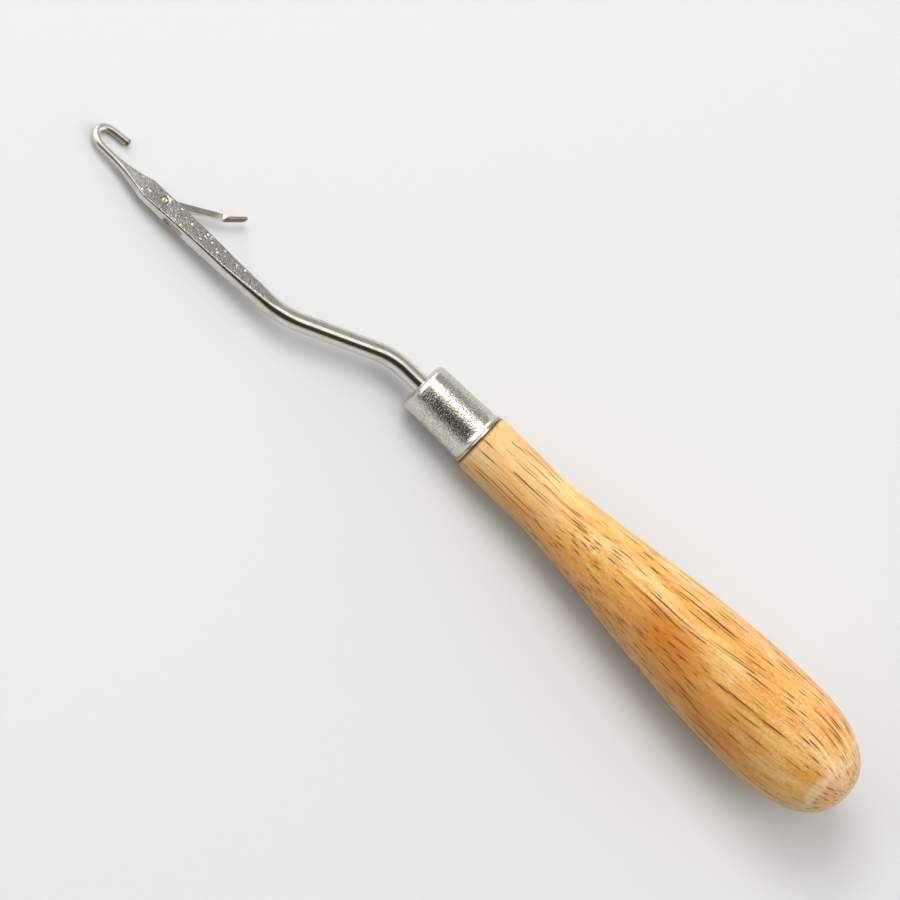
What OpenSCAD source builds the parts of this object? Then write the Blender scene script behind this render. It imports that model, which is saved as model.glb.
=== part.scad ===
// Latch hook tool: a turned wooden handle, a drawn ferrule, one bent rod that is
// flattened and slotted into a blade with a hook, and a latch that swings in the slot.
// Shank and hook are the same rod, which is parted where the taper ends in round wire.
// X runs along the handle towards the hook, from the shoulder where wood meets ferrule.
// Z is the rivet's axis, and the hook opens towards -Y. All sizes are in millimetres.

/* [Handle] */
// Length of the wood behind the ferrule
handle_len = 86.9; // [80:0.1:110]
// Diameter of the straight neck
neck_d = 11; // [10.4:0.1:13]
// Length of the straight neck
neck_len = 15; // [8:0.5:25]
// Diameter at the thickest point
belly_d = 20.7; // [16:0.1:26]
// Distance from the ferrule to the thickest point
belly_at = 69.5; // [50:0.5:72]
// Fullness of the swell from neck to belly, lower is fuller
swell_power = 1.4; // [1.1:0.05:2.2]
// Squareness of the butt, 2 is a plain ellipse
butt_power = 2.3; // [2:0.05:3]

/* [Ferrule] */
// Length of the ferrule
ferrule_len = 13.8; // [10:0.1:18]
// Diameter beside the crown
ferrule_front_d = 9.5; // [9:0.1:9.6]
// Diameter where the barrel meets the flange
ferrule_rear_d = 10; // [9.8:0.1:10.2]
// Diameter of the flared flange
flange_d = 10.7; // [10.5:0.1:12]
// Rounding of the crown's edge
crown_round = 1.1; // [0.6:0.1:1.5]
// Thickness of the drawn sheet
ferrule_wall = 0.45; // [0.3:0.05:0.6]

/* [Rod] */
// Diameter of the round rod
rod_d = 3.3; // [2.8:0.1:3.4]
// Length of the tang behind the shoulder
tang_len = 34; // [20:1:45]
// Distance from the shoulder to the corner of the first bend
first_bend_x = 20.4; // [19:0.1:22]
// Angle of the stretch between the bends
rise_angle = 27.9; // [24:0.1:32]
// Radius of both bends along the rod's middle
bend_r = 13; // [8:0.5:14]
// Distance of the blade's front edge from the handle's axis
front_edge_y = 8.25; // [8:0.05:8.4]

/* [Blade] */
// Thickness between the flat faces before the slot
blade_t = 2.5; // [2.3:0.05:2.7]
// Thickness between the flat faces where the taper starts
blade_end_t = 1.6; // [1.55:0.05:1.9]
// Height from the front edge to the back edge where the taper starts
blade_h = 4.12; // [4:0.02:4.2]
// Distance from the shoulder to where the blade starts to taper
taper_from_x = 70.1; // [69.5:0.1:71]
// Distance from the shoulder to where the taper ends in round wire
taper_to_x = 78.8; // [78:0.1:79.5]

/* [Hook] */
// Diameter of the hook's wire
wire_d = 1.42; // [1.2:0.02:1.5]
// Distance from the shoulder to the outside of the hook's nose
nose_x = 83.8; // [83.6:0.1:84.4]
// Distance from the handle's axis to the middle of the hook's stem
stem_y = 10.64; // [10.5:0.02:10.8]
// Distance along X that the hook's bend takes up, at the wire's middle
bend_reach = 2.7; // [2.4:0.1:3]
// Half the distance between the stem and the beak, at the wire's middle
bend_half_gap = 2; // [1.9:0.02:2.04]
// Angle by which the beak opens away from the stem
beak_angle = 7; // [5:0.5:8]
// Length of the beak's straight part
beak_len = 3.4; // [3.2:0.05:3.5]

/* [Latch] */
// Distance from the shoulder to the rivet
pivot_x = 66.65; // [66.5:0.05:66.8]
// Distance from the handle's axis to the rivet
pivot_y = 10.15; // [10.05:0.05:10.2]
// Length from the rivet to the spoon's tip
latch_len = 15.6; // [15.3:0.1:15.8]
// Angle between the latch, swung fully open, and the blade behind it
open_angle = 34.7; // [34.5:0.1:37]
// Angle that the latch swings through from open to closed
swing = 122.5; // [118:0.5:122.5]
// Thickness of the latch's bar
latch_t = 0.8; // [0.7:0.02:0.84]
// Width of the spoon
spoon_w = 1.7; // [1.5:0.05:1.8]

/* [Rivet] */
// Diameter of the rivet
rivet_d = 1; // [0.8:0.05:1]
// Diameter of its staked ends
rivet_head_d = 1.6; // [1.4:0.05:1.7]
// Radial running clearance in the latch's eye
rivet_clearance = 0.06; // [0.02:0.01:0.08]

/* [Pose] */
// Swing of the latch away from its open stop
latch_swing = 0; // [0:0.5:122.5]

/* [Hidden] */

$fn = 96;
// Sides of every lofted section, and steps along each stretch of a loft or a profile
sides = 36;
bend_steps = 10;
spread_steps = 9;
thin_steps = 8;
taper_steps = 12;
hook_steps = 26;
beak_tip_steps = 5;
shoulder_steps = 8;
spoon_steps = 3;
spoon_tip_steps = 7;
swell_steps = 26;
butt_steps = 22;
// Degrees between the points of a rounded edge
arc_step = 15;

rod_r = rod_d / 2;
wire_r = wire_d / 2;
// A driven or staked piece is drawn this much clear of its seat
seat_gap = 0.01;

// Handle: the tenon fills the ferrule, and the drilled hole is deeper than the tang
tenon_gap = 0.02;
crown_gap = 0.4;
neck_round = 0.35;
bore_spare = 1;
drill_point = 1.5;

// Ferrule, by radius and distance from the shoulder
rim_gap = 0.1;
flange_len = 0.55;
flare_len = 1.3;
lip_r = 0.25;
crown_hole_gap = 0.07;

// Rod before the blade
rod_y = front_edge_y + rod_r;
bend_setback = bend_r * tan(rise_angle / 2);
second_bend_x = first_bend_x + rod_y / tan(rise_angle);
tang_point = 5;
tang_point_scale = 0.45;

// Where the rod starts to flatten, spread and lift, where it is a full blade, and where
// the blade thins again towards the hook
flat_from_x = 40;
flat_to_x = 53;
spread_from_x = 38;
spread_to_x = 68;
lift_from_x = 42;
lift_to_x = 52;
thin_from_x = 58;
thin_to_x = 72.5;
taper_power = 1.9;
// The blade's edges go from fully round to crisper ones
crisp_from_x = 40;
crisp_to_x = 58;
edge_squareness = 3;
edge_depth = 0.5;
blade_lift = 0.16;
blade_front_y = front_edge_y + blade_lift;
back_edge_y = blade_front_y + blade_h;

// The hook's bend is half an ellipse, and the beak leaves it where it has turned enough
bend_x = nose_x - wire_r - bend_reach;
bend_y = stem_y - bend_half_gap;
bend_end = 180 - atan(bend_reach / bend_half_gap * tan(beak_angle));
beak_round = 0.5;
beak_squareness = 2.5;
// The rounding stops short of a point and leaves a small flat
beak_flat = 0.97;

// The slot is a saw's arc from the front, and a slanted wall behind is the open stop
slot_w = 0.96;
saw_r = 15;
saw_x = -4.6;
saw_bite = 0.115;
stop_x = -4.09;
stop_slant = 2.21;

// Latch, measured from the rivet along the bar and across it, positive towards the stem
// when it is closed. The bar leaves the eye a little off its middle.
eye_r = 0.95;
eye_t = 0.84;
bar_from = 0.6;
bar_half_h = 0.85;
bar_offset = 0.15;
neck_half_h = 0.64;
neck_at = 11;
bar_corner = 0.2;
latch_squareness = 2.8;
// The bar drops at the neck into a spoon that rises again towards its rounded tip
spoon_at = 11.8;
spoon_half_h = 0.31;
spoon_drop = 0.14;
spoon_tilt = 14.5;
spoon_squareness = 2.2;
// Shares of the spoon's height and width that are left at the tip
tip_height = 0.35;
tip_width = 0.18;
// The cup is a round groove with round ends, from one distance past the neck to another
cup_r = 0.78;
cup_depth = 0.32;
cup_from = 0.5;
cup_to = 2.8;

// Rivet
stake_depth = 0.22;
dish_depth = 0.16;
dish_margin = 0.08;

function clamp01(v) = max(0, min(1, v));
function share(x, from, to) = clamp01((x - from) / (to - from));
function eased(x, from, to) = (1 - cos(180 * share(x, from, to))) / 2;

// One loft station: x, y, direction, half height, half thickness, depth of the
// rounded edges and their squareness
function station(x, y, turn, a, b, c, n) = [x, y, turn, a, b, c, n];
function round_station(x, y, turn, r) = station(x, y, turn, r, r, r, 2);

// Outline of a section: flat faces joined by rounded edges
function section(a, b, c, n) = [
    for (i = [0 : sides - 1])
        let (t = (i + 0.5) * 360 / sides)
        [sign(cos(t)) * (a - c + c * pow(abs(cos(t)), 2 / n)),
         sign(sin(t)) * b * pow(abs(sin(t)), 2 / n)]
];

function ring(s) = [
    for (p = section(s[3], s[4], s[5], s[6]))
        [s[0] - p[0] * sin(s[2]), s[1] + p[0] * cos(s[2]), p[1]]
];

// Skin over a list of stations, closed at both ends
module loft(stations) {
    last = len(stations) - 1;
    points = [for (s = stations) each ring(s)];
    skin = [
        for (k = [0 : last - 1], i = [0 : sides - 1])
            let (j = (i + 1) % sides, a = k * sides, b = a + sides)
            each [[a + i, b + i, b + j], [a + i, b + j, a + j]]
    ];
    first_cap = [for (i = [0 : sides - 1]) i];
    last_cap = [for (i = [0 : sides - 1]) last * sides + sides - 1 - i];
    polyhedron(points, concat(skin, [first_cap, last_cap]), convexity = 10);
}

// Handle: radius at a distance behind the shoulder
function swell_r(d) =
    neck_d / 2 + (belly_d - neck_d) / 2
        * pow(sin(90 * share(d, neck_len, belly_at)), swell_power);
function butt_r(d) =
    belly_d / 2 * pow(1 - pow(share(d, belly_at, handle_len), butt_power), 1 / butt_power);

module handle() {
    tenon_front_r = ferrule_front_d / 2 - ferrule_wall - tenon_gap;
    tenon_rear_r = ferrule_rear_d / 2 - ferrule_wall - tenon_gap;
    tenon_len = ferrule_len - ferrule_wall - crown_gap;
    tenon_chamfer = crown_round - ferrule_wall;
    bore_r = rod_r + seat_gap;
    bore_len = tang_len + bore_spare;
    neck_edge = [
        for (t = [0 : arc_step : 90])
            [neck_d / 2 - neck_round * (1 - sin(t)), neck_round * (1 - cos(t))]
    ];
    swell = [
        for (i = [0 : swell_steps])
            let (d = neck_len + (belly_at - neck_len) * i / swell_steps)
            [swell_r(d), d]
    ];
    butt = [
        for (i = [1 : butt_steps])
            let (d = belly_at + (handle_len - belly_at) * sin(90 * i / butt_steps))
            [butt_r(d), d]
    ];
    color("burlywood")
        rotate([0, -90, 0])
            rotate_extrude()
                polygon(concat(
                    [[0, bore_len + drill_point], [bore_r, bore_len], [bore_r, -tenon_len],
                     [tenon_front_r - tenon_chamfer, -tenon_len],
                     [tenon_front_r, tenon_chamfer - tenon_len], [tenon_rear_r, 0]],
                    neck_edge, swell, butt));
}

// One side of the ferrule's wall, drawn in by a distance from its outside
function ferrule_side(inset) =
    let (
        rear_r = ferrule_rear_d / 2 - inset,
        front_r = ferrule_front_d / 2 - inset,
        flare = (flange_d - ferrule_rear_d) / 2,
        arc_r = crown_round - inset,
        front = ferrule_len - inset
    )
    concat(
        [for (t = [0 : arc_step : 90])
            [rear_r + flare * (1 - sin(t)), flange_len + flare_len * (1 - cos(t))]],
        [for (t = [0 : arc_step : 90])
            [front_r - arc_r * (1 - cos(t)), front - arc_r * (1 - sin(t))]]);

module ferrule() {
    lip = [
        for (t = [-90 : arc_step : 0])
            [flange_d / 2 - lip_r * (1 - cos(t)), rim_gap + lip_r * (1 + sin(t))]
    ];
    outside = ferrule_side(0);
    inside = ferrule_side(ferrule_wall);
    inner_rim_r = flange_d / 2 - ferrule_wall;
    crown_hole_r = rod_r + crown_hole_gap;
    color("silver")
        rotate([0, 90, 0])
            rotate_extrude()
                polygon(concat(
                    [[inner_rim_r, rim_gap]], lip, outside,
                    [[crown_hole_r, ferrule_len], [crown_hole_r, ferrule_len - ferrule_wall]],
                    [for (i = [len(inside) - 1 : -1 : 0]) inside[i]]));
}

// Blade: height, thickness and middle at a distance from the shoulder
function taper(x) = pow(1 - share(x, taper_from_x, taper_to_x), taper_power);
function blade_height(x) =
    x > taper_from_x
        ? wire_d + (blade_h - wire_d) * taper(x)
        : rod_d + (blade_h - rod_d) * share(x, spread_from_x, spread_to_x);
function blade_thickness(x) =
    blade_t + (rod_d - blade_t) * pow(1 - share(x, flat_from_x, flat_to_x), 2)
        + (blade_end_t - blade_t) * eased(x, thin_from_x, thin_to_x)
        + (wire_d - blade_end_t) * eased(x, thin_to_x, taper_to_x);
function blade_middle(x) =
    x > taper_from_x
        ? stem_y + (blade_front_y + blade_h / 2 - stem_y) * taper(x)
        : front_edge_y + blade_lift * eased(x, lift_from_x, lift_to_x)
            + blade_height(x) / 2;
function crispness(x) =
    x > taper_from_x ? taper(x) : share(x, crisp_from_x, crisp_to_x);

// A station of the blade, on a path that may still be turning
function blade_station(x, y, turn) =
    let (
        a = blade_height(x) / 2,
        b = min(a, blade_thickness(x) / 2),
        c = b * (1 - (1 - edge_depth) * crispness(x)),
        n = 2 + (edge_squareness - 2) * crispness(x)
    )
    station(x, y, turn, a, b, c, n);

// Points between two positions, without the first
function steps(from, to, count) = [for (i = [1 : count]) from + (to - from) * i / count];

function first_bend() = [
    for (i = [0 : bend_steps])
        let (t = rise_angle * i / bend_steps, x = first_bend_x - bend_setback + bend_r * sin(t))
        round_station(x, bend_r * (1 - cos(t)), t, rod_r)
];

// The blade grows backwards only, so its middle moves away from the path
function second_bend() = [
    for (i = [bend_steps : -1 : 0])
        let (
            t = rise_angle * i / bend_steps,
            x = second_bend_x + bend_setback - bend_r * sin(t),
            shift = (blade_height(x) - rod_d) / 2
        )
        blade_station(x, rod_y - bend_r * (1 - cos(t)) + shift, t)
];

function blade_stations() = [
    for (x = concat(
            steps(second_bend_x + bend_setback, thin_from_x, spread_steps),
            steps(thin_from_x, taper_from_x, thin_steps),
            steps(taper_from_x, taper_to_x, taper_steps)))
        blade_station(x, blade_middle(x), 0)
];

function hook_stations() = [
    for (i = [0 : hook_steps])
        let (t = bend_end * i / hook_steps)
        round_station(
            bend_x + bend_reach * sin(t), bend_y + bend_half_gap * cos(t),
            atan2(-bend_half_gap * sin(t), bend_reach * cos(t)), wire_r)
];

// The beak runs straight on from the bend and ends blunt and round
function beak_stations() =
    let (
        from_x = bend_x + bend_reach * sin(bend_end),
        from_y = bend_y + bend_half_gap * cos(bend_end),
        turn = beak_angle - 180
    )
    [
        for (i = [0 : beak_tip_steps])
            let (
                s = beak_flat * sin(90 * i / beak_tip_steps),
                d = beak_len - beak_round * (1 - s),
                r = wire_r * pow(1 - pow(s, beak_squareness), 1 / beak_squareness)
            )
            round_station(from_x + d * cos(turn), from_y + d * sin(turn), turn, r)
    ];

module unslotted_shank() {
    loft(concat(
        [round_station(-tang_len, 0, 0, rod_r * tang_point_scale),
         round_station(tang_point - tang_len, 0, 0, rod_r)],
        first_bend(), second_bend(), blade_stations()));
}

// Cut in the blade for the latch, drawn about the rivet
module slot() {
    back = back_edge_y - pivot_y;
    front = blade_front_y - pivot_y;
    slope = stop_slant / blade_h;
    reach = 9;
    over = 2;
    intersection() {
        translate([saw_x, back + saw_bite - saw_r, -slot_w / 2])
            cylinder(r = saw_r, h = slot_w);
        translate([0, 0, -slot_w])
            linear_extrude(2 * slot_w)
                polygon([
                    [stop_x + slope * over, front - over],
                    [reach, front - over],
                    [reach, back + over],
                    [stop_x - slope * (blade_h + over), back + over]]);
    }
}

// A rivet, or with a gap added the hole that it fills, countersunk at both faces
module rivet_body(gap, over) {
    r = rivet_d / 2 + gap;
    head_r = rivet_head_d / 2 + gap;
    face = blade_thickness(pivot_x) / 2;
    flare = (head_r - r) / stake_depth;
    rotate_extrude()
        polygon([
            [0, -face - over], [head_r + flare * over, -face - over],
            [r, stake_depth - face], [r, face - stake_depth],
            [head_r + flare * over, face + over], [0, face + over]]);
}

module shank() {
    color("lightgray")
        difference() {
            unslotted_shank();
            translate([pivot_x, pivot_y, 0]) {
                slot();
                rivet_body(gap = seat_gap, over = stake_depth);
            }
        }
}

module hook() {
    color("gainsboro")
        loft(concat(
            [round_station(taper_to_x + seat_gap, stem_y, 0, wire_r)],
            hook_stations(), beak_stations()));
}

// Latch bar and spoon, straight along X with the cup towards +Y
function latch_station(x) =
    let (
        along = share(x, 0, neck_at),
        bar = bar_half_h + (neck_half_h - bar_half_h) * along,
        ease = eased(x, neck_at, spoon_at),
        close = share(x, latch_len - spoon_w / 2, latch_len),
        tip = pow(1 - pow(close, spoon_squareness), 1 / spoon_squareness),
        half_h = bar + (spoon_half_h - bar) * ease,
        half_w = (latch_t + (spoon_w - latch_t) * ease) / 2,
        y = max(0, x - spoon_at) * tan(spoon_tilt) - bar_offset * (1 - along)
            - spoon_drop * ease,
        a = half_h * (tip_height + (1 - tip_height) * tip),
        b = half_w * (tip_width + (1 - tip_width) * tip),
        c = min(a, b, bar_corner + (spoon_half_h - bar_corner) * ease)
    )
    station(x, y, 0, a, b, c, latch_squareness);

function latch_places() =
    let (tip_from = latch_len - spoon_w / 2)
    concat(
        [bar_from, neck_at],
        steps(neck_at, spoon_at, shoulder_steps),
        steps(spoon_at, tip_from, spoon_steps),
        [for (t = steps(0, 90, spoon_tip_steps)) tip_from + spoon_w / 2 * sin(t)]);

module latch_solid() {
    rim_y = spoon_half_h - spoon_drop;
    cup_y = rim_y + cup_r - cup_depth;
    difference() {
        union() {
            translate([0, 0, -eye_t / 2])
                cylinder(r = eye_r, h = eye_t);
            loft([for (x = latch_places()) latch_station(x)]);
        }
        translate([0, 0, -slot_w])
            cylinder(d = rivet_d + 2 * rivet_clearance, h = 2 * slot_w);
        translate([spoon_at, cup_y, 0])
            rotate([0, 0, spoon_tilt]) {
                translate([cup_from, 0, 0])
                    sphere(r = cup_r);
                translate([cup_from, 0, 0])
                    rotate([0, 90, 0])
                        cylinder(r = cup_r, h = cup_to - cup_from);
                translate([cup_to, 0, 0])
                    sphere(r = cup_r);
            }
    }
}

module latch() {
    color("gray")
        translate([pivot_x, pivot_y, 0])
            rotate([0, 0, 180 + open_angle + min(latch_swing, swing)])
                latch_solid();
}

// Rivet with a punched dish in each staked end
module latch_rivet() {
    face = blade_thickness(pivot_x) / 2;
    dish_edge_r = rivet_head_d / 2 - dish_margin;
    dish_r = (pow(dish_edge_r, 2) + pow(dish_depth, 2)) / (2 * dish_depth);
    color("darkgray")
        translate([pivot_x, pivot_y, 0])
            difference() {
                rivet_body(gap = 0, over = 0);
                for (side = [-1, 1])
                    translate([0, 0, side * (face + dish_r - dish_depth)])
                        sphere(r = dish_r);
            }
}

handle();
ferrule();
shank();
hook();
latch();
latch_rivet();
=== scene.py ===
import bpy
import bmesh
import math
from mathutils import Matrix, Vector, kdtree


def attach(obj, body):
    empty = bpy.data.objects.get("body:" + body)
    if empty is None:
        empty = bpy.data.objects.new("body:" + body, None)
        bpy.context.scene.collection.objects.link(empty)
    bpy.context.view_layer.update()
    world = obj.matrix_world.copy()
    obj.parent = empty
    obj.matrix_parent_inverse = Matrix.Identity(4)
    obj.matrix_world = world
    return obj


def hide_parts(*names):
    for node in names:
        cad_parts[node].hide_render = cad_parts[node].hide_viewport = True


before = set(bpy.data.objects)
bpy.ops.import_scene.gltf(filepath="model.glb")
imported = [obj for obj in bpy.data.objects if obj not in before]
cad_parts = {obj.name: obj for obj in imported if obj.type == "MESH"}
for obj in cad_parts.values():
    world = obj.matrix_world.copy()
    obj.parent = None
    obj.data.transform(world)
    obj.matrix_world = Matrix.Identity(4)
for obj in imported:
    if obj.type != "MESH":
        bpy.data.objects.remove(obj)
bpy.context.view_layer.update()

# Objects, lamp and camera are placed in metres; materials count in millimetres.
MM = 0.001
X_AXIS = Vector((1, 0, 0))


# ---------------------------------------------------------------- placing
def add_object(name, data):
    made = bpy.data.objects.new(name, data)
    bpy.context.scene.collection.objects.link(made)
    return made


def place(thing, right, up, back, location):
    """Turns a camera or a lamp, which look along their own -Z, and moves it there."""
    thing.matrix_world = Matrix((
        (right.x, up.x, back.x, 0), (right.y, up.y, back.y, 0),
        (right.z, up.z, back.z, 0), (0, 0, 0, 1)))
    thing.location = location


def beside(normal):
    """The tool's X axis laid square to a normal, and the direction square to both."""
    along = (X_AXIS - normal * normal.x).normalized()
    return along, normal.cross(along)


# ---------------------------------------------------------------- camera
# The photograph looks at the blade's face from 35 degrees towards its back edge, +Y, and
# from 2 degrees towards the hook. The handle's axis runs from the lower right of the
# picture to the upper left.
VIEW_ROLL = math.radians(35)
VIEW_TILT = math.radians(2)
AXIS_IN_IMAGE = (-0.7178, 0.6962)
# The middle of the ferrule's crown, and its pixel from the upper left corner
CROWN = Vector((13.8 * MM, 0, 0))
CROWN_PX = (420.5, 384)
IMAGE_PX = 900
PX_PER_M = 5900
DISTANCE = 2.0
SENSOR = 36
CLIP_NEAR, CLIP_FAR = 0.1, 20


def view_axes():
    """The picture's right and up, and the way back from the tool to the camera."""
    across = Vector((0, math.sin(VIEW_ROLL), math.cos(VIEW_ROLL)))
    back = (across * math.cos(VIEW_TILT) + X_AXIS * math.sin(VIEW_TILT)).normalized()
    along, side = beside(back)
    ax, ay = AXIS_IN_IMAGE
    right = along * ax - side * ay
    up = along * ay + side * ax
    return right.normalized(), up.normalized(), back


def make_camera():
    right, up, back = view_axes()
    data = bpy.data.cameras.new("camera")
    camera = add_object("camera", data)
    centre = IMAGE_PX / 2
    target = CROWN - right * ((CROWN_PX[0] - centre) / PX_PER_M)
    target = target - up * ((centre - CROWN_PX[1]) / PX_PER_M)
    place(camera, right, up, back, target + back * DISTANCE)
    data.sensor_width = SENSOR
    data.lens = SENSOR * PX_PER_M * DISTANCE / IMAGE_PX
    data.clip_start, data.clip_end = CLIP_NEAR, CLIP_FAR
    bpy.context.scene.camera = camera


make_camera()
bpy.context.scene.view_settings.view_transform = "Standard"


# ---------------------------------------------------------------- node helpers
def linear(r, g, b):
    """A colour written as it is seen, in the numbers that shaders use."""
    def one(v):
        v /= 255
        return v / 12.92 if v <= 0.04045 else ((v + 0.055) / 1.055) ** 2.4
    return one(r), one(g), one(b), 1.0


class Graph:
    """Builds a node tree with short calls, most of which return an output socket."""

    def __init__(self, tree):
        self.tree = tree
        self.nodes = tree.nodes
        self.nodes.clear()

    def add(self, kind, **values):
        node = self.nodes.new(kind)
        for name, value in values.items():
            setattr(node, name, value)
        return node

    def put(self, node, key, value):
        socket = node.inputs[key]
        if isinstance(value, bpy.types.NodeSocket):
            self.tree.links.new(value, socket)
        elif value is not None:
            socket.default_value = value

    def math(self, operation, a, b=None, c=None):
        node = self.add("ShaderNodeMath", operation=operation)
        for key, value in enumerate((a, b, c)):
            self.put(node, key, value)
        return node.outputs[0]

    def times(self, first, *others):
        for other in others:
            first = self.math("MULTIPLY", first, other)
        return first

    def vector(self, operation, a, b=None, scale=None):
        node = self.add("ShaderNodeVectorMath", operation=operation)
        self.put(node, 0, a)
        self.put(node, 1, b)
        if scale is not None:
            self.put(node, "Scale", scale)
        one_number = operation in ("DOT_PRODUCT", "LENGTH")
        return node.outputs["Value" if one_number else "Vector"]

    def step(self, value, low, high):
        """Smooth 0 to 1 as value goes from low to high, which may run downwards."""
        node = self.add("ShaderNodeMapRange", interpolation_type="SMOOTHSTEP")
        for key, v in (("Value", value), ("From Min", low), ("From Max", high)):
            self.put(node, key, v)
        return node.outputs[0]

    def zone(self, *limits):
        """1 where all limits are met.

        A limit is a value, where it starts to count and where it counts in full.
        """
        return self.times(*(self.step(*limit) for limit in limits))

    def line(self, value, low, high, to_low, to_high):
        node = self.add("ShaderNodeMapRange")
        for key, v in zip(("Value", "From Min", "From Max", "To Min", "To Max"),
                          (value, low, high, to_low, to_high)):
            self.put(node, key, v)
        return node.outputs[0]

    def between(self, share, start, end):
        """From start to end as share goes from 0 to 1."""
        return self.line(share, 0, 1, start, end)

    def noise(self, vector, detail=2.0, rough=0.5, colour=False):
        node = self.add("ShaderNodeTexNoise")
        self.put(node, "Vector", vector)
        self.put(node, "Scale", 1.0)
        self.put(node, "Detail", detail)
        self.put(node, "Roughness", rough)
        return node.outputs["Color" if colour else "Fac"]

    def cells(self, vector, dimensions="3D"):
        """Distance to the nearest cell's point, and that cell's random colour."""
        node = self.add("ShaderNodeTexVoronoi", voronoi_dimensions=dimensions)
        self.put(node, "Vector", vector)
        self.put(node, "Scale", 1.0)
        return node.outputs["Distance"], node.outputs["Color"]

    def stretch(self, vector, x, y, z):
        """Divides coordinates in millimetres by a size along each axis."""
        return self.vector("DIVIDE", vector, (x, y, z))

    def shrink(self, vector, size):
        """Divides coordinates in millimetres by one size."""
        return self.vector("SCALE", vector, scale=1 / size)

    def shift(self, vector, size, x, y, z):
        """Moves points by a smooth random amount, so that straight lines wander."""
        way = self.noise(self.stretch(vector, *size), detail=1.0, colour=True)
        way = self.vector("SUBTRACT", way, (0.5, 0.5, 0.5))
        return self.vector("ADD", vector, self.vector("MULTIPLY", way, (x, y, z)))

    def parts(self, vector):
        node = self.add("ShaderNodeSeparateXYZ")
        self.put(node, 0, vector)
        return node.outputs["X"], node.outputs["Y"], node.outputs["Z"]

    def join(self, x, y, z):
        node = self.add("ShaderNodeCombineXYZ")
        for key, value in enumerate((x, y, z)):
            self.put(node, key, value)
        return node.outputs[0]

    def mix(self, share, a, b):
        node = self.add("ShaderNodeMix", data_type="RGBA")
        # A Mix node's colours are its inputs 6 and 7, and its output 2
        self.put(node, 0, share)
        self.put(node, 6, a)
        self.put(node, 7, b)
        return node.outputs[2]

    def paint(self, base, colour, *shares):
        """Lays a colour over the base, as strongly as the product of the shares says."""
        return self.mix(self.times(*shares), base, linear(*colour))

    def bump(self, height, distance, normal=None):
        node = self.add("ShaderNodeBump")
        self.put(node, "Height", height)
        self.put(node, "Distance", distance)
        self.put(node, "Normal", normal)
        return node.outputs[0]

    def millimetres(self):
        here = self.add("ShaderNodeTexCoord").outputs["Object"]
        return self.vector("SCALE", here, scale=1 / MM)

    def facing(self):
        return self.parts(self.add("ShaderNodeTexCoord").outputs["Normal"])


def new_material(name):
    material = bpy.data.materials.new(name)
    material.use_nodes = True
    graph = Graph(material.node_tree)
    shader = graph.add("ShaderNodeBsdfPrincipled")
    output = graph.add("ShaderNodeOutputMaterial")
    graph.tree.links.new(shader.outputs[0], output.inputs["Surface"])
    return material, graph, shader


# Two numbers for a place are where a change starts and where it is complete, along X in
# millimetres if nothing else is said.

# ---------------------------------------------------------------- wood
BUTT_SLOPE = (-56, -66)
PALE_NECK = (-24, -15)
WORN_FROM, WORN_TO = (-80.7, -81.5), (-83.6, -82.4)
END_GRAIN = (-81.0, -83.6)
SHOULDER_SHADOW = (-0.5, -0.1)
BELLY_RADIUS = 10.3
CORE_RADIUS = 3.0
# How far the grain leaves the handle's axis in Y and in Z for each millimetre along it
GRAIN_Y, GRAIN_Z = -0.057, 0.040


def grain_space(g, mm):
    """Coordinates in which the grain runs along X.

    It follows the outline in part, so that a slope doesn't cut every vessel short, and it
    wanders in two sizes of waves.
    """
    x, y, z = g.parts(mm)
    radius = g.vector("LENGTH", g.vector("MULTIPLY", mm, (0, 1, 1)))
    radius = g.math("MAXIMUM", radius, CORE_RADIUS)
    follow = g.between(g.step(x, *BUTT_SLOPE), 0.42, 0.74)
    swell = g.math("POWER", g.math("DIVIDE", BELLY_RADIUS, radius), follow)
    q = g.join(x, g.math("MULTIPLY_ADD", x, GRAIN_Y, g.times(y, swell)),
               g.math("MULTIPLY_ADD", x, GRAIN_Z, g.times(z, swell)))
    q = g.shift(q, (26, 12, 12), 0, 2.8, 2.8)
    return g.shift(q, (8, 3, 3), 0, 0.34, 0.34)


def vessels(g, q, spacing, radius, length, kept, soften):
    """Long tubes along the grain: a level cut opens them as dashes, a steep one as dots.

    Returns the tubes, and the wider stain round them.
    """
    x, y, z = g.parts(q)
    grid = g.join(g.math("DIVIDE", y, spacing), g.math("DIVIDE", z, spacing), 0)
    near, cell = g.cells(grid, "2D")
    cx, cy, cz = g.parts(cell)
    # Each tube opens and closes along its length in its own rhythm
    run = g.noise(g.join(g.math("MULTIPLY_ADD", cx, 40.0, g.math("DIVIDE", x, length)),
                         g.math("MULTIPLY", cy, 60.0), g.math("MULTIPLY", cz, 60.0)),
                  detail=0.0)
    open_here = g.step(run, kept, g.math("ADD", kept, 0.07))
    width = g.times(g.between(cy, 0.75, 1.08), open_here, radius / spacing)
    share = g.math("DIVIDE", near, g.math("MAXIMUM", width, 0.001))
    return g.step(share, 1.0, soften), g.times(g.step(share, 2.6, 0.8), open_here)


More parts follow.
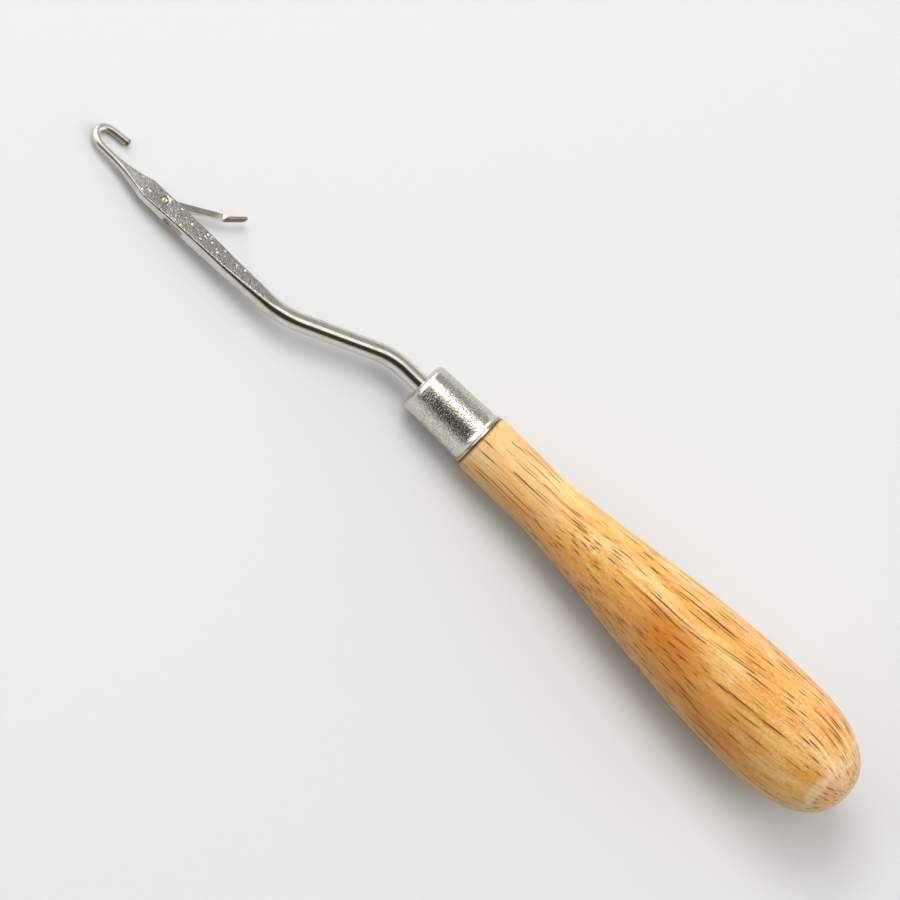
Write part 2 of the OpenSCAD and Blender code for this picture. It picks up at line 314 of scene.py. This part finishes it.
def wood_material():
    material, g, shader = new_material("varnished_wood")
    mm = g.millimetres()
    x = g.parts(mm)[0]
    q = grain_space(g, mm)

    crowd = g.noise(g.stretch(mm, 15, 4, 4), detail=1.0)
    kept = g.line(crowd, 0.3, 0.7, 0.52, 0.32)
    coarse, halo = vessels(g, q, spacing=0.68, radius=0.165, length=10.5,
                           kept=kept, soften=0.35)
    fine, fine_halo = vessels(g, q, spacing=0.47, radius=0.09, length=6.0,
                              kept=g.math("ADD", kept, 0.02), soften=0.2)

    # Amber and pale wood, from broad patches down to a fine mottle
    patch = g.noise(g.stretch(q, 17, 5, 5), detail=2.0)
    broad = g.noise(g.stretch(mm, 26, 8, 8), detail=1.0)
    streak = g.noise(g.stretch(q, 16, 0.8, 0.8), detail=2.0)
    fibre = g.noise(g.stretch(q, 4.5, 0.17, 0.17), detail=2.0, rough=0.6)
    mottle = g.noise(g.stretch(q, 0.62, 0.34, 0.34), detail=3.0, rough=0.7)
    base = g.mix(g.step(patch, 0.36, 0.66), linear(238, 166, 72), linear(253, 212, 136))
    base = g.paint(base, (252, 206, 152), g.step(broad, 0.52, 0.7), 0.5)
    base = g.paint(base, (222, 146, 58), g.step(streak, 0.5, 0.3), 0.42)
    base = g.paint(base, (255, 228, 166), g.step(streak, 0.52, 0.72), 0.4)
    base = g.paint(base, (202, 126, 48), g.step(fibre, 0.52, 0.75), 0.34)
    base = g.paint(base, (255, 232, 166), g.step(fibre, 0.48, 0.28), 0.3)
    base = g.paint(base, (210, 132, 50), g.step(mottle, 0.5, 0.72), 0.5)
    base = g.paint(base, (255, 236, 176), g.step(mottle, 0.5, 0.3), 0.4)

    def tinted_patch(base, colour, share, centre, length, width, edge):
        """A soft oval patch; edge is the part of it that has the full colour."""
        away = g.stretch(g.vector("SUBTRACT", mm, centre), length, width, width)
        away = g.vector("LENGTH", away)
        return g.paint(base, colour, g.step(away, 1.0, edge), share)

    # An amber patch ahead of the belly, and a small pale knot on it
    base = tinted_patch(base, (216, 122, 18), 0.65, (-46, 6.1, 6.5), length=11, width=5.5, edge=0.2)
    base = tinted_patch(base, (255, 232, 172), 0.5, (-58.3, 5.4, 8.6), length=1.9, width=1.2, edge=0.0)
    base = g.paint(base, (255, 226, 168), g.step(x, *PALE_NECK), 0.45)
    # Deeper amber along the +Y side of belly and neck is painted shade on the side turned from
    # the light, and the paler, pinker -Y side at the butt is painted light on the lit side
    base = tinted_patch(base, (212, 124, 16), 0.6, (-52, 10.5, 3.0), length=32, width=9.5, edge=0.25)
    base = tinted_patch(base, (240, 156, 62), 0.55, (-16, 6.5, 2.0), length=20, width=6.0, edge=0.2)
    base = tinted_patch(base, (240, 190, 142), 0.5, (-70, -9.5, 6.0), length=28, width=9.5, edge=0.2)

    # The varnish has worn through in a ring round the butt, whose end grain is pinker
    rub = g.noise(g.stretch(mm, 2.2, 3.2, 3.2), detail=3.0)
    ragged = g.math("ADD", x, g.between(rub, -1.3, 1.3))
    blotch = g.noise(g.stretch(mm, 3, 5.5, 5.5), detail=3.0)
    worn = g.zone((ragged, *WORN_FROM), (ragged, *WORN_TO), (blotch, 0.36, 0.56))
    base = g.paint(base, (224, 180, 132), g.step(ragged, *END_GRAIN), 0.6)

    dark = g.math("MAXIMUM", g.times(coarse, 0.92), g.times(fine, 0.7))
    rings = g.math("MAXIMUM", halo, g.times(fine_halo, 0.6))
    base = g.paint(base, (186, 104, 26), rings, 0.34)
    base = g.paint(base, (102, 46, 9), dark)
    base = g.paint(base, (252, 236, 204), worn, 0.42)
    # Painted shadow: the wood is darkened where it meets the ferrule's rim
    base = g.paint(base, (96, 56, 26), g.step(x, *SHOULDER_SHADOW), 0.75)

    varnish = g.times(g.between(worn, 0.27, 0.08), g.math("SUBTRACT", 1.0, dark))
    height = g.math("SUBTRACT", g.times(fibre, 0.15), dark)
    g.put(shader, "Base Color", base)
    g.put(shader, "Roughness", g.between(worn, 0.42, 0.62))
    g.put(shader, "Specular IOR Level", 0.3)
    g.put(shader, "Coat Weight", varnish)
    g.put(shader, "Coat Roughness", 0.26)
    g.put(shader, "Normal", g.bump(height, 0.035 * MM))
    return material


# ---------------------------------------------------------------- metals
def plated(g, shader, mm, bright, dull, rough):
    """Nickel plate with faint marks of use. Returns the tone and the roughness."""
    marks = g.noise(g.stretch(mm, 3.5, 1.1, 1.1), detail=4.0, rough=0.65)
    g.put(shader, "Metallic", 1.0)
    tone = g.mix(g.step(marks, 0.45, 0.72), linear(*bright), linear(*dull))
    return tone, g.line(marks, 0.3, 0.75, rough * 0.8, rough * 1.5)


CROWN_FROST = (12.6, 10.0)
FLARE_FROST = (0.9, 2.4)
LEAST_FROST = 0.12
FLARE_START, CROWN_CURVE_START = 2.6, 9.4
RIM_SHADE = (0.75, 0.3)


def ferrule_material():
    """Polished at the crown and the flare, and frosted between them by orange peel, with
    painted shade and painted highlights on the peel's speckles.
    """
    material, g, shader = new_material("ferrule_nickel")
    mm = g.millimetres()
    x = g.parts(mm)[0]
    tone, rough = plated(g, shader, mm, (216, 213, 205), (199, 195, 186), 0.12)
    frost = g.times(g.between(g.step(x, *CROWN_FROST), 0.25, 1.0), g.step(x, *FLARE_FROST))
    frost = g.math("MAXIMUM", frost, LEAST_FROST)
    peel = g.noise(g.shrink(mm, 0.3), detail=3.0, rough=0.7)
    grit, cell = g.cells(g.shrink(mm, 0.36))
    height = g.times(g.math("ADD", g.times(peel, 1.3), g.times(grit, 0.7)), frost)
    normal = g.bump(height, 0.04 * MM)

    def curve(past):
        return g.math("POWER", g.math("MAXIMUM", past, 0.0), 2.0)

    # It narrows a little towards the crown, in a curve there, and widens at the flare
    flare = curve(g.math("SUBTRACT", FLARE_START, x))
    crown = curve(g.math("SUBTRACT", x, CROWN_CURVE_START))
    narrow = g.math("MULTIPLY_ADD", x, 0.6, g.times(crown, 0.22))
    normal = g.bump(g.math("SUBTRACT", flare, narrow), 0.085 * MM, normal)

    pit = g.zone((grit, 0.42, 0.2), (g.parts(cell)[0], 0.4, 0.5))
    tone = g.paint(tone, (186, 182, 172), frost, 0.35)
    # Painted shade and painted highlights: dark and near-white speckles on the orange peel
    # stand in for its small shadows and glints
    tone = g.paint(tone, (118, 114, 106), g.step(peel, 0.5, 0.38), frost, 0.42)
    tone = g.paint(tone, (252, 251, 246), g.step(peel, 0.5, 0.62), frost, 0.6)
    tone = g.paint(tone, (92, 89, 83), pit, frost, 0.4)
    tone = g.paint(tone, (120, 108, 90), g.step(x, *RIM_SHADE), 0.5)
    g.put(shader, "Base Color", tone)
    g.put(shader, "Roughness", g.math("ADD", rough, g.times(frost, 0.03)))
    g.put(shader, "Normal", normal)
    return material


PRESSED_FROM, PRESSED_TO = (40.5, 46), (77.5, 75)
LARGE_DOMES = (64.5, 67.5)
SLOT_FROM, SLOT_TO = (58.0, 58.6), (70.5, 70.0)
SLOT_HALF_Z, SLOT_TOP_Y = (0.52, 0.49), (12.35, 12.15)
STAIN_FROM, STAIN_TO = (59.0, 60.4), (65.4, 64.0)
STAIN_HALF_Z, STAIN_Y = (0.95, 0.5), (11.6, 12.1)
BEAK_END_FROM, BEAK_END_TO, BEAK_END_Y = (76.0, 76.5), (78.2, 77.7), (8.2, 7.9)
HOOK = (68.5, 72.5)
THROAT_STEM_Y, THROAT_BEAK_Y = (9.6, 10.2), (9.6, 9.0)


def rod_material():
    """Bright on the round rod, pitted on the pressed faces, dull in the slot and painted pale
    inside it as light.
    """
    material, g, shader = new_material("rod_nickel")
    mm = g.millimetres()
    x, y, z = g.parts(mm)
    depth = g.math("ABSOLUTE", z)
    to_y, to_z = g.facing()[1:]
    tone, rough = plated(g, shader, mm, (216, 213, 205), (198, 193, 182), 0.1)
    flat = g.zone((g.math("ABSOLUTE", to_z), 0.78, 0.93), (x, *PRESSED_FROM), (x, *PRESSED_TO))

    def domes(spacing, radius, keep, offset):
        """Scattered round spots of random size, most of them raised and some sunk."""
        near, cell = g.cells(g.vector("ADD", g.shrink(mm, spacing), offset))
        pick, grow, rise = g.parts(cell)
        reach = g.times(g.between(grow, 0.6, 1.3), radius / spacing)
        top = g.step(near, reach, g.times(reach, 0.35))
        return g.times(top, g.step(pick, 1 - keep, 1.02 - keep), g.between(rise, -0.5, 1.0))

    grain = g.noise(g.shrink(mm, 0.42), detail=3.0, rough=0.65)
    peel = g.times(g.math("SUBTRACT", grain, 0.5), 0.9)
    medium = domes(spacing=0.66, radius=0.25, keep=0.6, offset=(0, 0, 0))
    small = domes(spacing=0.40, radius=0.14, keep=0.6, offset=(3.7, 9.2, 5.1))
    large = domes(spacing=0.86, radius=0.31, keep=0.9, offset=(5.3, 1.4, 7.7))
    bumps = g.math("MAXIMUM", g.math("ADD", g.times(medium, 1.5), g.times(small, 0.9)),
                   g.times(large, 1.4, g.step(x, *LARGE_DOMES)))
    drawn = g.noise(g.stretch(mm, 6, 0.35, 0.35), detail=2.0)
    scuff = g.noise(g.shrink(mm, 1.3), detail=3.0)
    marks = g.math("ADD", g.times(drawn, 0.06), g.times(scuff, 0.16))
    height = g.times(g.math("ADD", g.times(peel, 1.5), bumps), flat)
    height = g.math("ADD", height, marks)

    # Painted shade in a ring round each dome, and a painted highlight on the domes themselves
    dome_shade_ring = g.zone((bumps, 0.02, 0.12), (bumps, 0.4, 0.22))
    tone = g.paint(tone, (168, 166, 162), flat, 0.5)
    tone = g.paint(tone, (112, 110, 106), flat, g.step(grain, 0.5, 0.36), 0.6)
    tone = g.paint(tone, (98, 96, 92), flat, dome_shade_ring, 0.4)
    tone = g.paint(tone, (240, 239, 235), flat, g.step(bumps, 0.3, 0.9), 0.8)

    # The slot's inside, painted pale as light inside it, the stain round its mouth, and the cut
    # end of the beak
    in_slot = g.zone((depth, *SLOT_HALF_Z), (x, *SLOT_FROM), (x, *SLOT_TO), (y, *SLOT_TOP_Y))
    tinted_patch = g.zone((depth, *STAIN_HALF_Z), (y, *STAIN_Y), (x, *STAIN_FROM), (x, *STAIN_TO))
    cut = g.zone((x, *BEAK_END_TO), (x, *BEAK_END_FROM), (y, *BEAK_END_Y))
    tone = g.paint(tone, (150, 122, 84), tinted_patch, g.step(scuff, 0.4, 0.6), 0.5)
    tone = g.paint(tone, (253, 247, 234), in_slot)
    tone = g.paint(tone, (74, 56, 44), cut, g.line(scuff, 0.3, 0.7, 0.5, 1.0))

    # The thin hook is duller than the rod, and browner on the sides of its throat
    hook = g.step(x, *HOOK)
    throat = g.math("MAXIMUM", g.zone((y, *THROAT_BEAK_Y), (to_y, 0.1, 0.7)),
                    g.zone((y, *THROAT_STEM_Y), (to_y, -0.1, -0.7)))
    tone = g.paint(tone, (120, 94, 74), hook, throat, 0.45)
    rough = g.math("ADD", rough, g.math("ADD", g.times(flat, 0.1), g.times(hook, 0.1)))
    g.put(shader, "Base Color", tone)
    g.put(shader, "Metallic", g.math("MINIMUM", g.between(in_slot, 1.0, 0.0),
                                     g.between(hook, 1.0, 0.8)))
    g.put(shader, "Roughness", g.math("ADD", rough, g.times(in_slot, 0.4)))
    g.put(shader, "Normal", g.bump(height, 0.05 * MM))
    return material


LATCH_NECK_FROM, LATCH_NECK_TO = (56.9, 57.4), (58.9, 58.0)
SPOON = (57.4, 56.8)
SPOON_TIP = (54.6, 53.2)


def latch_material():
    """Rubbed bright on its narrow sides, which also carry a painted reflection, with a painted
    highlight on its neck, and brown on the spoon.
    """
    material, g, shader = new_material("latch_nickel")
    mm = g.millimetres()
    x = g.parts(mm)[0]
    tone, rough = plated(g, shader, mm, (186, 182, 174), (160, 155, 144), 0.2)
    grain = g.noise(g.stretch(mm, 0.5, 0.5, 0.3), detail=3.0, rough=0.65)
    side = g.step(g.math("ABSOLUTE", g.facing()[2]), 0.75, 0.45)
    neck = g.zone((x, *LATCH_NECK_TO), (x, *LATCH_NECK_FROM))
    # The narrow sides are rubbed bright and also painted lighter as a reflection; the neck is
    # painted lighter as a highlight
    rub_and_highlight = g.math("MAXIMUM", g.times(side, 0.8), g.times(neck, 0.7))
    tone = g.paint(tone, (240, 238, 232), rub_and_highlight)
    spoon = g.times(g.step(x, *SPOON), g.line(grain, 0.3, 0.7, 0.75, 1.0),
                    g.between(side, 0.6, 1.0))
    spoon_brown = g.mix(g.step(x, *SPOON_TIP), linear(132, 96, 50), linear(70, 50, 34))
    spoon_brown = g.paint(spoon_brown, (66, 48, 34), side, 0.8)
    g.put(shader, "Base Color", g.mix(spoon, tone, spoon_brown))
    g.put(shader, "Roughness", g.math("ADD", rough, g.times(spoon, 0.12)))
    g.put(shader, "Normal", g.bump(grain, 0.03 * MM))
    return material


RIVET = (66.65, 10.15, 0)


def rivet_material():
    """The staked head is a low ring round a dimple, with rust in the dimple, a painted
    highlight on one half, and painted shade in the dimple's middle and round the head's edge.
    """
    material, g, shader = new_material("rivet_steel")
    mm = g.millimetres()
    off = g.vector("MULTIPLY", g.vector("SUBTRACT", mm, RIVET), (1, 1, 0))
    away = g.vector("LENGTH", off)
    across = g.vector("DOT_PRODUCT", off, (0.7, 0.7, 0))
    tone, rough = plated(g, shader, mm, (214, 207, 192), (180, 170, 150), 0.2)
    grain = g.noise(g.shrink(mm, 0.25), detail=2.0)
    ring = g.zone((away, 0.05, 0.42), (away, 0.8, 0.5))
    rust = g.zone((away, 0.5, 0.35), (across, -0.05, -0.2))
    dimple_shade = g.math("MAXIMUM", g.step(away, 0.48, 0.56),
                    g.times(g.step(away, 0.24, 0.14), 0.6))
    # Painted highlight: the half of the head towards +X and +Y is painted near white. Painted
    # shade: the dimple's middle and the head beyond 0.56 mm from the axis are darkened.
    tone = g.paint(tone, (250, 249, 244), g.step(across, -0.1, 0.15), 0.9)
    tone = g.paint(tone, (92, 84, 72), dimple_shade, 0.8)
    tone = g.paint(tone, (152, 118, 80), rust, 0.7)
    height = g.math("ADD", ring, g.times(grain, 0.15))
    g.put(shader, "Base Color", tone)
    g.put(shader, "Roughness", g.math("ADD", rough, g.times(rust, 0.3)))
    g.put(shader, "Normal", g.bump(height, 0.09 * MM))
    return material


# ---------------------------------------------------------------- pieces
JOINT_GAP = 0.02 * MM
WELD = 0.0005 * MM


def joined_skin(nodes):
    """The points and faces of CAD nodes as one skin with shared points."""
    bm = bmesh.new()
    seam = set()
    for node in nodes:
        known = list(bm.verts)
        bm.from_mesh(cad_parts[node].data)
        if known:
            tree = kdtree.KDTree(len(known))
            for i, vert in enumerate(known):
                tree.insert(vert.co, i)
            tree.balance()
            for vert in list(bm.verts)[len(known):]:
                point, i, distance = tree.find(vert.co)
                if distance < JOINT_GAP:
                    vert.co = point
                    seam.update((vert, known[i]))
    # Where two nodes meet, each has an end face that the real rod hasn't
    ends = [f for f in bm.faces if all(v in seam for v in f.verts)]
    bmesh.ops.delete(bm, geom=ends, context="FACES_ONLY")
    bmesh.ops.remove_doubles(bm, verts=bm.verts[:], dist=WELD)
    bm.verts.index_update()
    points = [v.co.copy() for v in bm.verts]
    faces = [[v.index for v in f.verts] for f in bm.faces]
    bm.free()
    return points, faces


def smooth_piece(name, nodes, body, material, sharp):
    """Replaces CAD nodes by one skin, rounded but for edges of more than sharp degrees."""
    points, faces = joined_skin(nodes)
    mesh = bpy.data.meshes.new(name)
    mesh.from_pydata(points, [], faces)
    mesh.shade_smooth()
    mesh.set_sharp_from_angle(angle=math.radians(sharp))
    mesh.materials.append(material)
    piece = add_object(name, mesh)
    weigh = piece.modifiers.new("weighted", "WEIGHTED_NORMAL")
    weigh.keep_sharp = True
    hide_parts(*nodes)
    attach(piece, body)


smooth_piece("turned_handle", ["handle"], "tool", wood_material(), sharp=40)
smooth_piece("ferrule_cup", ["ferrule"], "tool", ferrule_material(), sharp=40)
smooth_piece("hook_rod", ["shank", "hook"], "tool", rod_material(), sharp=38)
smooth_piece("latch_tongue", ["latch"], "latch", latch_material(), sharp=38)
smooth_piece("staked_rivet", ["latch_rivet"], "tool", rivet_material(), sharp=30)


# ---------------------------------------------------------------- stage and light
# The tool lies on its belly, the ferrule's crown and the hook's beak
REST_POINTS = [Vector(p) * MM for p in (
    (-54.827, -1.274, -9.679), (12.7, -0.62, -4.709), (81.877, 6.894, -0.707))]
FLOOR_HALF = 4.0


def make_floor():
    a, b, c = REST_POINTS
    up = (b - a).cross(c - a).normalized()
    if up.z < 0:
        up = -up
    along, side = beside(up)
    corners = [b + along * (FLOOR_HALF * i) + side * (FLOOR_HALF * j)
               for i, j in ((-1, -1), (1, -1), (1, 1), (-1, 1))]
    mesh = bpy.data.meshes.new("floor")
    mesh.from_pydata([tuple(p) for p in corners], [], [(0, 1, 2, 3)])
    floor = add_object("floor", mesh)
    material, g, shader = new_material("floor_paper")
    tone = g.noise(g.shrink(g.millimetres(), 300), detail=1.0)
    pale = g.mix(tone, linear(222, 223, 224), linear(225, 226, 227))
    # The tool hangs free in the photograph, so the floor gives it only little light back
    ray = g.add("ShaderNodeLightPath").outputs
    seen = g.math("MAXIMUM", ray["Is Camera Ray"], ray["Is Glossy Ray"])
    g.put(shader, "Base Color", g.mix(seen, linear(150, 150, 150), pale))
    g.put(shader, "Roughness", 0.8)
    g.put(shader, "Specular IOR Level", 0.2)
    mesh.materials.append(material)


make_floor()


def soft_light(name, direction, distance, width, length, radiance):
    """A flat lamp that shines on the origin, as bright as a surface of that radiance."""
    data = bpy.data.lights.new(name, "AREA")
    data.shape = "RECTANGLE"
    data.size, data.size_y = length, width
    data.energy = math.pi * width * length * radiance
    back = Vector(direction).normalized()
    along, side = beside(back)
    place(add_object(name, data), along, side, back, back * distance)


soft_light("top_light", direction=(0.46, -0.13, 0.87), distance=0.9,
           width=0.42, length=0.54, radiance=4.2)

# The room's brightness in bands that run along the tool. Each fades in between two angles,
# in degrees round the X axis from +Z towards +Y. The white one is only in the butt's half.
WALL = (0.86, 0.86, 0.85, 1)
GREY_FROM, GREY = (-76, -62), (0.47, 0.47, 0.46, 1)
DIM_FROM, DIM = (-12, 0), (0.36, 0.36, 0.35, 1)
GOLD_FROM, GOLD = (3, 7), (1.5, 1.36, 1.02, 1)
WHITE_FROM, WHITE = (-20, -13), (1.35, 1.34, 1.31, 1)
WHITE_X = (0.03, -0.01)
BROWN_FROM, BROWN = (13, 18), (0.16, 0.15, 0.12, 1)
DARK_FROM, DARK = (22, 32), (0.045, 0.045, 0.047, 1)
SHADE_FROM, SHADE = (70, 79), (0.36, 0.35, 0.34, 1)
LOW_FROM, LOW = (82, 89), (0.62, 0.62, 0.61, 1)
# The two bright ends of the room. In the dark bands they lie further towards the butt.
ENDS = (1.85, 1.85, 1.84, 1)
ENDS_TURN, ENDS_FADE = (10, 28), (84, 52)
BUTT_END = ((-0.50, -0.70), (-0.63, -0.82))
HOOK_END = ((0.50, 0.34), (0.63, 0.50))


def make_world():
    """A pale room with the bands that the photograph's metal shows, fixed to the tool."""
    world = bpy.data.worlds.new("studio")
    bpy.context.scene.world = world
    world.use_nodes = True
    g = Graph(world.node_tree)
    x, y, z = g.parts(g.add("ShaderNodeTexCoord").outputs["Generated"])
    lean = g.math("MULTIPLY", g.math("ARCTAN2", y, z), 180 / math.pi)
    tone = g.mix(g.step(lean, *GREY_FROM), WALL, GREY)
    tone = g.mix(g.step(lean, *DIM_FROM), tone, DIM)
    tone = g.mix(g.step(lean, *GOLD_FROM), tone, GOLD)
    tone = g.mix(g.zone((lean, *WHITE_FROM), (x, *WHITE_X)), tone, WHITE)
    tone = g.mix(g.step(lean, *BROWN_FROM), tone, BROWN)
    tone = g.mix(g.step(lean, *DARK_FROM), tone, DARK)
    tone = g.mix(g.step(lean, *SHADE_FROM), tone, SHADE)
    tone = g.mix(g.step(lean, *LOW_FROM), tone, LOW)

    turned = g.step(lean, *ENDS_TURN)

    def end(starts, full):
        return g.step(x, g.between(turned, *starts), g.between(turned, *full))

    ends = g.times(g.math("MAXIMUM", end(*BUTT_END), end(*HOOK_END)),
                   g.step(lean, *ENDS_FADE))
    background = g.add("ShaderNodeBackground")
    g.put(background, "Color", g.mix(ends, tone, ENDS))
    g.put(background, "Strength", 1.0)
    output = g.add("ShaderNodeOutputWorld")
    g.tree.links.new(background.outputs[0], output.inputs[0])


make_world()
